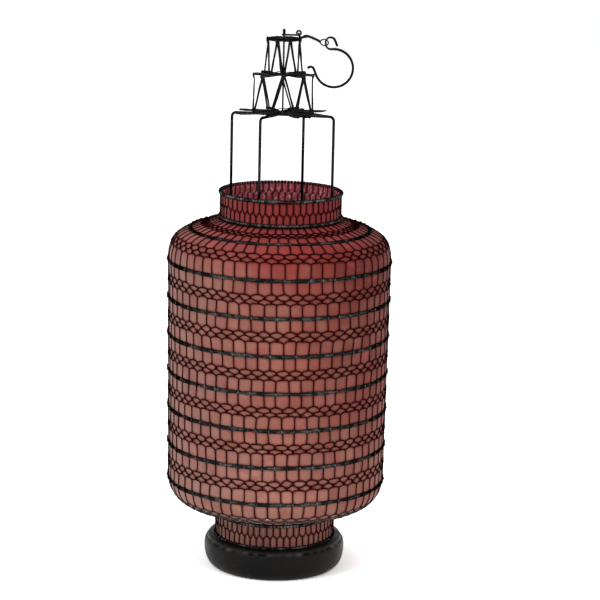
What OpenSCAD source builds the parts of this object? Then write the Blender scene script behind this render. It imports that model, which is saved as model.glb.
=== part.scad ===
// Lantern of netted iron wire lined with red silk, standing on a turned wooden base.
// Two bent wire bows rise from the base and carry a stepped wire crown and a swinging hook.
// Millimetres, +Z up. The origin is the centre of the base's flat underside.

/* [Wooden base] */
// Widest diameter of the turned base
base_d = 181; // [178:1:200]
// Height of the base up to the face that the shade stands on
base_h = 40; // [36:1:60]
// Diameter of the flat underside
base_foot_d = 156; // [140:1:166]
// Height of the widest line of the base
base_wide_z = 25; // [18:1:26]
// Diameter of the collar under the shade
base_collar_d = 168; // [166:1:174]
// Height of the straight collar
base_collar_h = 4; // [2:0.5:6]
// Height of the boss that centres the shade
boss_h = 8; // [5:1:14]
// Depth of the holes that hold the bows, below the boss's top
socket_depth = 26; // [15:1:32]

/* [Candle holder] */
// Diameter of the tin drip pan
pan_d = 58; // [40:1:90]
// Height of the pan's rim
pan_h = 6; // [4:1:12]
// Sheet thickness of the pan
pan_t = 0.8; // [0.5:0.1:2]
// Diameter of the spike that takes the candle
spike_d = 4; // [3:0.5:6]
// Straight length of the spike above its flange
spike_l = 18; // [12:1:30]
// Length of the spike's point
spike_tip_l = 10; // [6:1:16]
// Diameter of the spike's flange
flange_d = 14; // [10:1:24]
// Thickness of the spike's flange
flange_t = 2; // [1:0.5:4]
// Length of the spike's tang in the wood
tang_l = 16; // [8:1:24]

/* [Frame bows] */
// Diameter of the circle that the four legs stand on
leg_circle_d = 140; // [120:1:142]
// Wire of the bows
leg_wire_d = 2.8; // [2:0.1:3.4]
// Bend radius at the top of each leg
leg_bend_r = 5.5; // [5:0.5:14]
// Height of the lower bow's top wire
bow_z = 591.2; // [585:0.1:640]
// Turn of the bows and the crown about the upright axis
crown_turn = -22.5; // [-45:0.5:45]

/* [Crown] */
// Thickness of a crown plate
plate_t = 1.6; // [1:0.1:2.4]
// Diameter of the lower plate over its arms
lower_plate_d = 116; // [104:1:124]
// Diameter of the middle plate over its arms
middle_plate_d = 78.8; // [66:0.2:79.2]
// Diameter of the round top plate
top_plate_d = 43.6; // [38:0.2:45]
// Width of an arm at its broadest
arm_w = 11; // [8:0.5:13]
// Clear height between two plates
tier_h = 43.1; // [38:0.1:48]
// Wire of the struts
strut_d = 1.3; // [0.8:0.1:1.8]
// Radius of the circle of the lower struts' feet
lower_foot_r = 40; // [36:0.5:44]
// Radius of the circle of the upper struts' feet
upper_foot_r = 24; // [22:0.5:25.5]
// Gap between the feet of neighbouring struts, along the circle
foot_gap = 2.4; // [1.8:0.2:5]
// Inset of a strut's top from the rim of the plate above it
apex_inset = 2; // [1:0.2:4]

/* [Centre rod] */
// Diameter of the rod
rod_d = 2.3; // [1.8:0.1:2.8]
// Diameter of the rod's head
rod_head_d = 3.7; // [3.4:0.1:5]
// Length of the rod's head
rod_head_l = 6.3; // [4:0.1:8]
// Bare length of the rod between the top plate and its head
rod_neck_l = 5.9; // [4.5:0.1:8]
// Diameter of the rod's riveted foot
rod_foot_d = 5.2; // [4:0.2:8]
// Thickness of the rod's riveted foot
rod_foot_t = 0.6; // [0.4:0.1:1]

/* [Lashing] */
// Wire of the lashings that tie the lower plate to the bows
lash_d = 1.1; // [0.8:0.1:1.2]
// Turns in each lashing
lash_turns = 6; // [3:1:6]
// Distance from one turn to the next
lash_pitch = 2.2; // [1.8:0.1:2.6]
// Distance of the first turn from the centre
lash_start = 21; // [19:0.5:24]
// Half width of a turn, measured on its wire axis
lash_half_w = 7.4; // [7:0.1:8]

/* [Shade] */
// Outside diameter of the silk at the neck and at the foot
neck_d = 153.2; // [153:0.2:158]
// Outside diameter of the silk at the top of the body wall
body_top_d = 284; // [270:1:300]
// Outside diameter of the silk at the bottom of the body wall
body_low_d = 277.6; // [266:0.2:296]
// Height of the straight foot ring
foot_h = 33.6; // [24:0.2:40]
// Height of the body from the foot ring to the neck
body_h = 385; // [370:1:400]
// Height of the straight neck
neck_h = 35; // [26:0.5:40]
// Slope of the shoulder from level, in degrees
shoulder_slope = 20.6; // [18:0.1:26]
// Rounding radius of the shoulder, between the shoulder hoop and the highest wall hoop
shoulder_r = 42; // [34:1:46]
// Slope of the underside from level, in degrees
under_slope = 18; // [16:0.1:27]
// Rounding radius of the underside, below the lowest wall hoop
under_r = 34; // [28:1:40]
// Thickness of the silk with its paste and varnish
silk_t = 0.6; // [0.4:0.1:1]

/* [Hoops and net] */
// Wire of the paired hoops
hoop_d = 1.5; // [1.2:0.1:1.8]
// Gap between the two wires of a hoop
hoop_gap = 0.4; // [0.3:0.1:0.8]
// Number of hoop bands on the body wall
wall_bands = 6; // [4:1:8]
// Number of net columns round the shade
net_columns = 56; // [40:2:60]
// Wire of the upright net strands
net_d = 0.9; // [0.7:0.1:1.1]
// Height of a zigzag row between its upper and lower corners
zigzag_h = 4; // [3:0.2:6]

/* [Hanger] */
// Wire of the swivel link
link_d = 1.1; // [0.8:0.1:1.2]
// Distance from the rod to the centre of the link's eye
link_reach = 18.5; // [16:0.1:20]
// Radius of the link's eye, measured on its wire axis
eye_r = 2.7; // [2.5:0.1:3]
// Wire of the hanger arm
arm_wire_d = 1.3; // [1:0.1:1.4]
// Distance from the link's eye to the hook's pivot, along the crown
arm_reach = 37.3; // [36.8:0.1:42]
// Drop from the link's eye to the hook's pivot
arm_drop = 10.8; // [9:0.1:12]
// Radius of the arm's end ring, measured on its wire axis
ring_r = 5.1; // [4.9:0.1:5.6]
// Tilt of the end ring about the arm's length, in degrees
ring_tilt = 42; // [20:1:44]
// Wire of the hook
hook_d = 2.4; // [1.8:0.1:2.6]
// Radius of the hook's small eye, measured on its wire axis
hook_eye_r = 6.1; // [6:0.1:6.6]
// Length of the hook's straight end beside its eye
hook_end_l = 7.5; // [5:0.5:9]
// Radius of the hook's neck
hook_neck_r = 5.5; // [5:0.1:6]
// Straight length from the hook's neck to its bow
hook_shank_l = 5.1; // [4.6:0.1:8]
// Radius of the hook's bow, measured on its wire axis
hook_r = 24; // [23:0.1:24.4]
// Straight length from the hook's bow to its tip curl
hook_rise_l = 8; // [6:0.5:9]
// Radius of the hook's tip curl
hook_tip_r = 4.4; // [4:0.1:4.8]

/* [Clearances] */
// Gap between pieces that lie on each other
seat_gap = 0.3; // [0.2:0.05:0.4]
// Gap between the boss and the shade's foot lining
boss_gap = 0.6; // [0.5:0.1:1]
// Gap round a wire in its hole
hole_gap = 0.15; // [0.1:0.05:0.2]
// Gap between the net and the silk, and between the hoops and the net
net_gap = 0.25; // [0.2:0.05:0.3]

/* [Hidden] */
$fn = 32;
round_fn = 128;
iron = [0.12, 0.12, 0.13];
dark_iron = [0.08, 0.08, 0.09];
silk_red = [0.62, 0.24, 0.24];

// Arms on each plate and struts on each tier, one arm over each leg and one between
crown_arms = 8;
arm_step = 360 / crown_arms;

// Plate levels and rod ends, upwards from the bows
upper_bow_z = bow_z + leg_wire_d + seat_gap;
lower_plate_z = upper_bow_z + leg_wire_d / 2 + seat_gap + rod_foot_t;
middle_plate_z = lower_plate_z + plate_t + tier_h;
top_plate_z = middle_plate_z + plate_t + tier_h;
rod_head_z = top_plate_z + plate_t + rod_neck_l;
lower_hub_r = 12;
middle_hub_r = 8;

// Base, with a narrow step round its collar and broken edges
collar_step_w = 2.5;
base_edge = 1;
boss_r = neck_d / 2 - silk_t - boss_gap;
boss_top_z = base_h + boss_h;
pan_z = boss_top_z + seat_gap;
flange_z = pan_z + pan_t + seat_gap;

// Shade profile, as the silk's outer face
neck_r = neck_d / 2;
wall_top_r = body_top_d / 2;
wall_low_r = body_low_d / 2;
shade_z = base_h + seat_gap;
foot_top_z = shade_z + foot_h;
neck_z = foot_top_z + body_h;
shade_top_z = neck_z + neck_h;

// Corners where the straight slopes would meet the wall, and the arcs that round them
shoulder_corner_z = neck_z - (wall_top_r - neck_r) * tan(shoulder_slope);
under_corner_z = foot_top_z + (wall_low_r - neck_r) * tan(under_slope);
wall_lean = atan((wall_top_r - wall_low_r) / (shoulder_corner_z - under_corner_z));
shoulder_turn = 90 - shoulder_slope + wall_lean;
under_turn = 90 - under_slope - wall_lean;
shoulder_tangent = shoulder_r * tan(shoulder_turn / 2);
under_tangent = under_r * tan(under_turn / 2);
shoulder_arc_z = shoulder_corner_z + shoulder_tangent * sin(shoulder_slope);
under_arc_z = under_corner_z - under_tangent * sin(under_slope);
shoulder_centre = [wall_top_r - shoulder_tangent * cos(shoulder_slope) - shoulder_r * sin(shoulder_slope),
                   shoulder_arc_z - shoulder_r * cos(shoulder_slope)];
under_centre = [wall_low_r - under_tangent * cos(under_slope) - under_r * sin(under_slope),
                under_arc_z + under_r * cos(under_slope)];
wall_top_z = shoulder_centre[1] - shoulder_r * sin(wall_lean);
wall_low_z = under_centre[1] - under_r * sin(wall_lean);

// Silk face radius at a height
function silk_r(z) =
    z >= neck_z || z <= foot_top_z ? neck_r :
    z > shoulder_arc_z ? neck_r + (neck_z - z) / tan(shoulder_slope) :
    z > wall_top_z ? shoulder_centre[0] + sqrt(pow(shoulder_r, 2) - pow(z - shoulder_centre[1], 2)) :
    z >= wall_low_z ? wall_low_r + (z - under_corner_z) * tan(wall_lean) :
    z >= under_arc_z ? under_centre[0] + sqrt(pow(under_r, 2) - pow(z - under_centre[1], 2)) :
    neck_r + (z - foot_top_z) / tan(under_slope);

// Angle of the silk face's outward normal above level, at a height
function silk_lean(z) =
    z >= neck_z || z <= foot_top_z ? 0 :
    z > shoulder_arc_z ? 90 - shoulder_slope :
    z > wall_top_z ? asin((z - shoulder_centre[1]) / shoulder_r) :
    z >= wall_low_z ? -wall_lean :
    z >= under_arc_z ? asin((z - under_centre[1]) / under_r) :
    under_slope - 90;

// Point [radius, height] at a distance outside the silk face
function off_silk(z, out) = [silk_r(z) + out * cos(silk_lean(z)), z + out * sin(silk_lean(z))];

// Distances of the net's and the hoops' wire axes from the silk face
net_out = net_gap + net_d / 2;
hoop_out = net_gap + net_d + net_gap + hoop_d / 2;
hoop_half = (hoop_d + hoop_gap) / 2;

// Hoop heights, with hoops where the wall meets the shoulder's and the underside's rounding
rim_hoop_z = shade_top_z - hoop_d;
neck_hoop_z = neck_z + hoop_d + hoop_half;
shoulder_hoop_z = shoulder_arc_z;
function wall_hoop_z(i) = wall_low_z + (wall_top_z - wall_low_z) * (wall_bands - i) / wall_bands;
low_hoop_z = wall_hoop_z(wall_bands);
foot_top_hoop_z = foot_top_z - hoop_d - hoop_half;
foot_hoop_z = shade_z + hoop_d;

// First net wire on the shoulder and the underside, just outside the neck and foot hoops
corner_step = hoop_out + hoop_d;
shoulder_net_z = neck_z - corner_step * tan(shoulder_slope);
under_net_z = foot_top_z + corner_step * tan(under_slope);

// Hanger, in the plane y = 0 as [x, z], with the rod's axis at x = 0
link_z = rod_head_z - seat_gap - link_d;
link_ring_r = rod_d / 2 + seat_gap + link_d / 2;
eye_z = link_z + eye_r;
eye_turn = 290;

// Arm in two strands, apart round the link's eye and together beyond the top plate
strand_room = 0.4;
strand_clear = 0.26;
arm_pivot = [link_reach, link_z + link_d / 2 + seat_gap + arm_wire_d / 2];
arm_rest_z = top_plate_z + plate_t + seat_gap + arm_wire_d / 2;
strand_apart = link_d / 2 + strand_room + arm_wire_d / 2;
strand_together = (arm_wire_d + strand_clear) / 2;
hook_pivot = arm_pivot + [arm_reach, -arm_drop];
ring_slope = 7;
ring_centre = hook_pivot - ring_r * [cos(ring_slope), -sin(ring_slope)];
ring_near = hook_pivot - 2 * ring_r * [cos(ring_slope), -sin(ring_slope)];

// Hook's eye round the arm's ring, and the turns of its wire in degrees
hook_hang = 3.2;
hook_hang_turn = 22;
hook_eye_centre = hook_pivot + (hook_eye_r - hook_hang) * [cos(hook_hang_turn), sin(hook_hang_turn)];
hook_eye_start = 23.7;
hook_eye_turn = 166.3;
hook_eye_lead = 3;
hook_neck_turn = 80;
hook_bow_turn = 248;
hook_tip_turn = 123;

// Bends in a wire are ball joints, a little thicker than the wire, that its straight ends stop in
joint_swell = 0.1;
joint_trim = 0.05;

// Straight wire between two points
module wire(a, b, d) {
    run = b - a;
    translate(a) rotate([0, acos(run[2] / norm(run)), atan2(run[1], run[0])])
        cylinder(d = d, h = norm(run));
}

// Wire in the plane y = 0, starting along +X, from moves that are each [length, 0] or [bend radius, turn]
module bent_wire(moves, d, i = 0) {
    if (i < len(moves)) {
        size = moves[i][0];
        turn = moves[i][1];
        if (i > 0) sphere(d = d + joint_swell);
        if (turn == 0) {
            first = i > 0 ? joint_trim : 0;
            last = i < len(moves) - 1 ? joint_trim : 0;
            translate([first, 0, 0]) rotate([0, 90, 0]) cylinder(d = d, h = size - first - last);
            translate([size, 0, 0]) bent_wire(moves, d, i + 1);
        } else {
            side = sign(turn);
            translate([0, 0, side * size]) {
                rotate([90, 0, 0]) rotate([0, 0, turn > 0 ? -90 : 90 + turn])
                    rotate_extrude(angle = abs(turn), $fn = round_fn) translate([size, 0]) circle(d = d);
                rotate([0, -turn, 0]) translate([0, 0, -side * size]) bent_wire(moves, d, i + 1);
            }
        }
    }
}

// Closed ring of round wire about the Z axis
module wire_ring(r, d) {
    rotate_extrude($fn = round_fn) translate([r, 0]) circle(d = d);
}

// Wooden base
module wood_base() {
    base_r = base_d / 2;
    foot_r = base_foot_d / 2;
    collar_r = base_collar_d / 2;
    collar_z = base_h - base_collar_h;
    swell = [for (a = [0:10:90]) [foot_r + (base_r - foot_r) * sin(a), base_wide_z * (1 - cos(a))]];
    turn_w = base_r - collar_r - collar_step_w;
    turn_h = collar_z - base_edge - base_wide_z;
    turn_in = [for (a = [15:15:90]) [base_r - turn_w * (1 - cos(a)), base_wide_z + turn_h * sin(a)]];
    collar = [[collar_r, collar_z], [collar_r, base_h - base_edge], [collar_r - base_edge, base_h]];
    boss = [[boss_r, base_h], [boss_r, boss_top_z - base_edge], [boss_r - base_edge, boss_top_z],
            [0, boss_top_z]];
    color([0.1, 0.085, 0.08]) difference() {
        rotate_extrude($fn = round_fn) polygon(concat([[0, 0]], swell, turn_in, collar, boss));
        for (i = [0:3]) rotate([0, 0, crown_turn + 90 * i])
            translate([leg_circle_d / 2, 0, boss_top_z - socket_depth])
                cylinder(d = leg_wire_d + 2 * hole_gap, h = socket_depth + 1);
        translate([0, 0, boss_top_z - tang_l - seat_gap])
            cylinder(d = spike_d + 2 * hole_gap, h = tang_l + boss_h);
    }
}

// Drip pan under the candle
module drip_pan() {
    r = pan_d / 2;
    outer = [[0, 0], [r - pan_h / 2, 0], [r, pan_h], [r - pan_t, pan_h]];
    inner = [[r - pan_h / 2 - pan_t / 2, pan_t], [0, pan_t]];
    color([0.35, 0.34, 0.32]) translate([0, 0, pan_z]) difference() {
        rotate_extrude($fn = round_fn) polygon(concat(outer, inner));
        translate([0, 0, -1]) cylinder(d = spike_d + 2 * hole_gap, h = pan_h);
    }
}

// Spike with its flange and its tang in the wood
module candle_spike() {
    r = spike_d / 2;
    tip_z = flange_z + flange_t + spike_l;
    color(iron) {
        translate([0, 0, boss_top_z - tang_l]) cylinder(r = r, h = tip_z - boss_top_z + tang_l);
        translate([0, 0, flange_z]) cylinder(d = flange_d, h = flange_t);
        translate([0, 0, tip_z]) cylinder(r1 = r, r2 = 0.4, h = spike_tip_l);
    }
}

// Bow of one wire with two legs, its top wire at a height
module bow(turn, top_z) {
    foot_z = boss_top_z - socket_depth + seat_gap;
    leg_l = top_z - leg_bend_r - foot_z;
    span = leg_circle_d - 2 * leg_bend_r;
    moves = [[leg_l, 0], [leg_bend_r, -90], [span, 0], [leg_bend_r, -90], [leg_l, 0]];
    color(iron) rotate([0, 0, turn]) translate([-leg_circle_d / 2, 0, foot_z])
        rotate([0, -90, 0]) bent_wire(moves, leg_wire_d);
}

// Half widths of an arm along its length, each [share of the arm's reach, share of its half width]
arm_widths = [[0.3, 0.6], [0.6, 0.6], [0.76, 1], [0.92, 0.7], [1, 0.3]];

// Outline of a plate with leaf shaped arms, anticlockwise
function star_points(tip_r, hub_r) = [
    for (k = [0:crown_arms - 1])
        for (p = concat([[hub_r, -arm_step / 2]],
                        [for (w = arm_widths) [w[0] * tip_r, -asin(w[1] * arm_w / 2 / (w[0] * tip_r))]],
                        [for (i = [len(arm_widths) - 1:-1:0])
                            let (w = arm_widths[i]) [w[0] * tip_r, asin(w[1] * arm_w / 2 / (w[0] * tip_r))]]))
            p[0] * [cos(arm_step * k + p[1]), sin(arm_step * k + p[1])]];

// Crown plate with arms, bored for the rod
module star_plate(tip_r, hub_r, z, turn) {
    color(dark_iron) translate([0, 0, z]) rotate([0, 0, turn]) difference() {
        linear_extrude(plate_t) polygon(star_points(tip_r, hub_r));
        translate([0, 0, -1]) cylinder(d = rod_d + 2 * hole_gap, h = plate_t + 2);
    }
}

// Round top plate with a rolled rim
module top_plate() {
    rim_r = top_plate_d / 2 - plate_t / 2;
    color(dark_iron) translate([0, 0, top_plate_z]) difference() {
        union() {
            cylinder(r = rim_r, h = plate_t, $fn = round_fn);
            translate([0, 0, plate_t / 2]) wire_ring(rim_r, plate_t);
        }
        translate([0, 0, -1]) cylinder(d = rod_d + 2 * hole_gap, h = plate_t + 2);
    }
}

// Rod through all three plates
module centre_rod() {
    foot_z = lower_plate_z - rod_foot_t;
    color(iron) {
        translate([0, 0, foot_z]) cylinder(d = rod_d, h = rod_head_z - foot_z + 1);
        translate([0, 0, foot_z - seat_gap / 3]) cylinder(d = rod_foot_d, h = rod_foot_t);
        translate([0, 0, rod_head_z]) cylinder(d = rod_head_d, h = rod_head_l - rod_head_d / 2);
        translate([0, 0, rod_head_z + rod_head_l - rod_head_d / 2]) sphere(d = rod_head_d);
    }
}

// Strut bent to an inverted V between two plates
module strut(turn, foot_r, apex_r, low_z) {
    foot_turn = arm_step / 2 - asin(foot_gap / 2 / foot_r) - asin(strut_d / 2 / foot_r);
    foot_z = low_z + plate_t + seat_gap;
    apex = [apex_r, 0, low_z + plate_t + tier_h - strut_d / 2 - seat_gap / 2];
    color(iron) rotate([0, 0, turn]) {
        for (side = [-1, 1])
            wire([foot_r * cos(foot_turn), side * foot_r * sin(foot_turn), foot_z], apex, strut_d);
        translate(apex) sphere(d = strut_d + joint_swell);
    }
}

module lower_strut(i) {
    strut(arm_step * i, lower_foot_r, middle_plate_d / 2 - apex_inset, lower_plate_z);
}

module upper_strut(i) {
    strut(arm_step * (i + 0.5), upper_foot_r, top_plate_d / 2 - apex_inset, middle_plate_z);
}

// Lashings: each is one unbroken winding round a bow's top wire and the plate's arm on it
lash_rings = 24;
lash_sides = 6;

// Rounds a turn to a box, so that it keeps clear of the plate's corners
function boxy(x) = sign(x) * pow(abs(x), 0.6);

function lash_point(t, low_z) =
    let (half_h = (lower_plate_z + plate_t - low_z + lash_d) / 2 + 2 * seat_gap)
    [lash_start + lash_pitch * t / 360, lash_half_w * boxy(cos(t)),
     (lower_plate_z + plate_t + low_z) / 2 + half_h * boxy(sin(t))];
function lash_axis(low_z) = [for (k = [0:lash_turns * lash_rings]) lash_point(k * 360 / lash_rings, low_z)];
function unit(v) = v / norm(v);

// Rings of points round a path, square to it
function tube_points(path, r, sides) = [
    for (k = [0:len(path) - 1])
        let (ahead = path[min(k + 1, len(path) - 1)] - path[max(k - 1, 0)],
             out = unit(cross(ahead, [1, 0, 0])),
             up = unit(cross(out, ahead)))
        for (s = [0:sides - 1])
            path[k] + r * (cos(360 * s / sides) * out + sin(360 * s / sides) * up)];

// Triangles of an open tube with closed ends
function tube_faces(rings, sides) = concat(
    [for (k = [0:rings - 2]) for (s = [0:sides - 1])
        let (a = k * sides + s, b = k * sides + (s + 1) % sides)
        each [[a, b, a + sides], [b, b + sides, a + sides]]],
    [for (s = [1:sides - 2]) [0, s + 1, s]],
    [for (s = [1:sides - 2]) let (e = (rings - 1) * sides) [e, e + s, e + s + 1]]);

// Least gap of a winding to itself, over points half a turn or more apart
function self_gap(path, d) = min([
    for (i = [0:len(path) - 1]) for (j = [i + lash_rings / 2:1:len(path) - 1]) norm(path[i] - path[j])]) - d;
echo(str("lashing least gap to itself in mm: ", self_gap(lash_axis(bow_z - leg_wire_d / 2), lash_d), " and ",
    self_gap(lash_axis(upper_bow_z - leg_wire_d / 2), lash_d)));

module bow_lashings() {
    color(dark_iron) for (i = [0:3]) {
        path = lash_axis((i % 2 == 0 ? bow_z : upper_bow_z) - leg_wire_d / 2);
        rotate([0, 0, crown_turn + 90 * i])
            polyhedron(tube_points(path, lash_d / 2, lash_sides), tube_faces(len(path), lash_sides));
    }
}

// Hoop of two wires lying outside the net, at a height on the silk
module hoop(z) {
    centre = off_silk(z, hoop_out);
    along = hoop_half * [-sin(silk_lean(z)), cos(silk_lean(z))];
    color(iron) for (side = [-1, 1]) {
        place = centre + side * along;
        translate([0, 0, place[1]]) wire_ring(place[0], hoop_d);
    }
}

// Heights of the profile's bends and of points along its arcs, downwards
arc_steps = 10;
profile_bends = concat(
    [for (k = [0:arc_steps])
        shoulder_centre[1] + shoulder_r * sin(90 - shoulder_slope - shoulder_turn * k / arc_steps)],
    [for (k = [0:arc_steps]) under_centre[1] - under_r * sin(wall_lean + under_turn * k / arc_steps)]);

// Silk ring between two heights on the profile
module silk_ring(high_z, low_z) {
    heights = concat([high_z], [for (z = profile_bends) if (z < high_z - 1 && z > low_z + 1) z], [low_z]);
    outer = [for (z = heights) off_silk(z, 0)];
    inner = [for (k = [len(heights) - 1:-1:0]) off_silk(heights[k], -silk_t)];
    color(silk_red) rotate_extrude($fn = round_fn) polygon(concat(outer, inner));
}

// Net wire along the silk between two heights, bent where both lie on one of its rounded parts
module profile_wire(high_z, low_z) {
    arcs = [for (arc = [[shoulder_arc_z, wall_top_z, shoulder_centre, shoulder_r],
                        [wall_low_z, under_arc_z, under_centre, under_r]])
        if (high_z <= arc[0] && low_z >= arc[1]) arc];
    if (len(arcs) > 0) {
        centre = arcs[0][2];
        r = arcs[0][3];
        high_turn = asin((high_z - centre[1]) / r);
        low_turn = asin((low_z - centre[1]) / r);
        translate([centre[0], 0, centre[1]]) rotate([90, 0, 0]) rotate([0, 0, low_turn])
            rotate_extrude(angle = high_turn - low_turn, $fn = round_fn)
                translate([r + net_out, 0]) circle(d = net_d);
    } else {
        lean = silk_lean((high_z + low_z) / 2);
        out = net_out * [cos(lean), sin(lean)];
        high = [silk_r(high_z), high_z] + out;
        low = [silk_r(low_z), low_z] + out;
        wire([low[0], 0, low[1]], [high[0], 0, high[1]], net_d);
    }
}

// Two rows of upright strands in a band, shifted by half a column where the zigzag crosses
module upright_rows(band, shift) {
    column = 360 / net_columns;
    for (i = [0:net_columns - 1]) {
        rotate([0, 0, column * (i + shift / 2)]) profile_wire(band[0], band[1] + zigzag_room);
        rotate([0, 0, column * (i + shift / 2 + 0.5)]) profile_wire(band[1] - zigzag_room, band[2]);
    }
}

// Points and faces of zigzag rings with three sided wire, one closed ring for each height
function zigzag_points(middle, shift) = [
    for (j = [0:2 * net_columns - 1])
        let (z = middle + ((j + shift) % 2 == 0 ? 1 : -1) * zigzag_h / 2 * cos(silk_lean(middle)),
             lean = silk_lean(z), turn = 180 * j / net_columns)
        for (k = [0:2])
            let (p = off_silk(z, net_out) + net_d / 2 * [cos(lean + 120 * k), sin(lean + 120 * k)])
            [p[0] * cos(turn), p[0] * sin(turn), p[1]]];
function zigzag_faces(first) = [
    for (j = [0:2 * net_columns - 1]) for (k = [0:2])
        let (n = 6 * net_columns, a = 3 * j + k, b = 3 * j + (k + 1) % 3, c = (a + 3) % n, d = (b + 3) % n)
        each [[first + a, first + b, first + c], [first + b, first + d, first + c]]];
module zigzag_rings(middles, shifts) {
    points = [for (i = [0:len(middles) - 1]) each zigzag_points(middles[i], shifts[i])];
    faces = [for (i = [0:len(middles) - 1]) each zigzag_faces(6 * net_columns * i)];
    color(iron) polyhedron(points, faces);
}

// Bands of the net, each [upper height, zigzag height, lower height]
zigzag_room = zigzag_h / 2 + net_d;
function band(high_z, low_z) = [high_z, (high_z + low_z) / 2, low_z];
neck_bands = [band(shade_top_z - net_gap, neck_z + net_out)];
shoulder_bands = [band(shoulder_net_z, shoulder_hoop_z + net_gap),
                  band(shoulder_hoop_z - net_gap, wall_hoop_z(0) + net_gap)];
body_bands = [for (i = [0:wall_bands - 1]) band(wall_hoop_z(i) - net_gap, wall_hoop_z(i + 1) + net_gap)];
under_bands = [[low_hoop_z - net_gap, under_arc_z + zigzag_room, under_net_z]];
foot_bands = [band(foot_top_z - net_out, shade_z + net_gap)];

module band_uprights(bands, shift) {
    color(iron) for (i = [0:len(bands) - 1]) upright_rows(bands[i], (i + shift) % 2);
}

module band_zigzags(bands, shift) {
    zigzag_rings([for (b = bands) b[1]], [for (i = [0:len(bands) - 1]) (i + shift) % 2]);
}

// Link that swivels on the rod under its head and ends in an upright eye
module swivel_link() {
    color(iron) {
        translate([0, 0, link_z]) wire_ring(link_ring_r, link_d);
        translate([link_ring_r, 0, link_z])
            bent_wire([[link_reach - link_ring_r, 0], [eye_r, eye_turn]], link_d);
    }
}

// Arm of one wire, doubled through the link's eye, resting on the top plate and held by its end ring
arm_sides = 8;
ring_steps = 28;
module hanger_arm() {
    side_path = [[arm_pivot[0] - 0.15, arm_pivot[1] + 0.1, strand_apart - 0.35],
                 [arm_pivot[0] + 0.1, arm_pivot[1] - 0.15, strand_apart],
                 [arm_pivot[0] + 1.6, arm_rest_z + 0.6, strand_apart],
                 [arm_pivot[0] + 2.4, arm_rest_z, strand_apart],
                 [arm_pivot[0] + 6.5, arm_rest_z + 0.6, strand_apart - 0.3],
                 [arm_pivot[0] + 9, arm_rest_z + 2.5, strand_together],
                 [arm_pivot[0] + 13, arm_rest_z + 1.9, strand_together],
                 [ring_near[0] - 3.6, ring_near[1] + 2.2, strand_together],
                 [ring_near[0], ring_near[1], strand_together]];
    last = len(side_path) - 1;
    path = concat([for (k = [last:-1:0]) let (p = side_path[k]) [p[0], -p[2], p[1]]],
                  [for (p = side_path) [p[0], p[2], p[1]]]);
    color(iron) {
        polyhedron(tube_points(path, arm_wire_d / 2, arm_sides), tube_faces(len(path), arm_sides));
        translate([ring_centre[0], 0, ring_centre[1]]) rotate([0, ring_slope, 0]) rotate([ring_tilt, 0, 0])
            rotate_extrude($fn = ring_steps) translate([ring_r, 0]) circle(d = arm_wire_d, $fn = arm_sides);
    }
}

// Open hook with a small eye, bent from one wire
module hanging_hook() {
    start = hook_eye_centre + [hook_eye_r * cos(hook_eye_start), hook_eye_r * sin(hook_eye_start)]
        - hook_end_l * [-sin(hook_eye_start), cos(hook_eye_start)];
    moves = [[hook_end_l, 0], [hook_eye_r, hook_eye_turn], [hook_eye_lead, 0], [hook_neck_r, hook_neck_turn],
             [hook_shank_l, 0], [hook_r, -hook_bow_turn], [hook_rise_l, 0], [hook_tip_r, hook_tip_turn]];
    color(dark_iron) translate([start[0], 0, start[1]]) rotate([0, -(90 + hook_eye_start), 0])
        bent_wire(moves, hook_d);
}

wood_base();
drip_pan();
candle_spike();
bow(crown_turn, bow_z);  // lower_bow
bow(crown_turn + 90, upper_bow_z);  // upper_bow
star_plate(lower_plate_d / 2, lower_hub_r, lower_plate_z, crown_turn);  // lower_plate
bow_lashings();
star_plate(middle_plate_d / 2, middle_hub_r, middle_plate_z, 0);  // middle_plate
top_plate();
centre_rod();
for (i = [1:crown_arms]) {
    lower_strut(i - 1);
    upper_strut(i - 1);
}
hoop(rim_hoop_z);  // rim_hoop
hoop(neck_hoop_z);  // neck_hoop
hoop(shoulder_hoop_z);  // shoulder_hoop
for (i = [0:wall_bands])
    hoop(wall_hoop_z(i));
hoop(foot_top_hoop_z);  // foot_top_hoop
hoop(foot_hoop_z);  // foot_hoop
silk_ring(shade_top_z, neck_z + seat_gap);  // neck_silk
silk_ring(neck_z - seat_gap, wall_hoop_z(0) + seat_gap / 2);  // shoulder_silk
silk_ring(wall_hoop_z(0) - seat_gap / 2, low_hoop_z + seat_gap / 2);  // body_silk
silk_ring(low_hoop_z - seat_gap / 2, foot_top_z + seat_gap);  // underside_silk
silk_ring(foot_top_z - seat_gap, shade_z);  // foot_silk
band_uprights(neck_bands, 0);  // neck_uprights
band_uprights(shoulder_bands, 1);  // shoulder_uprights
band_uprights(body_bands, 1);  // body_uprights
band_uprights(under_bands, 1);  // underside_uprights
band_uprights(foot_bands, 0);  // foot_uprights
band_zigzags(neck_bands, 0);  // neck_zigzag
band_zigzags(shoulder_bands, 1);  // shoulder_zigzags
band_zigzags(body_bands, 1);  // body_zigzags
band_zigzags(under_bands, 1);  // underside_zigzag
band_zigzags(foot_bands, 0);  // foot_zigzag
swivel_link();
hanger_arm();
hanging_hook();
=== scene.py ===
# %% [markdown]
# # A silk lantern in a wire net, on a wooden base
# The real object is a candle lantern. Red silk is pasted inside a net of black iron wire. The net's hoops give it its
# round body, and a neck and a foot ring close it. Two bent bows stand in a turned wooden base and pass up through the
# shade to a stepped crown with a hanging hook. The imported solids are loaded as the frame, and each visible piece is
# finished or made anew around them.

from math import atan, cos, hypot, pi, radians, sin, tan, tau

import bmesh
import bpy
import numpy as np
from mathutils import Matrix, Vector


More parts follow.
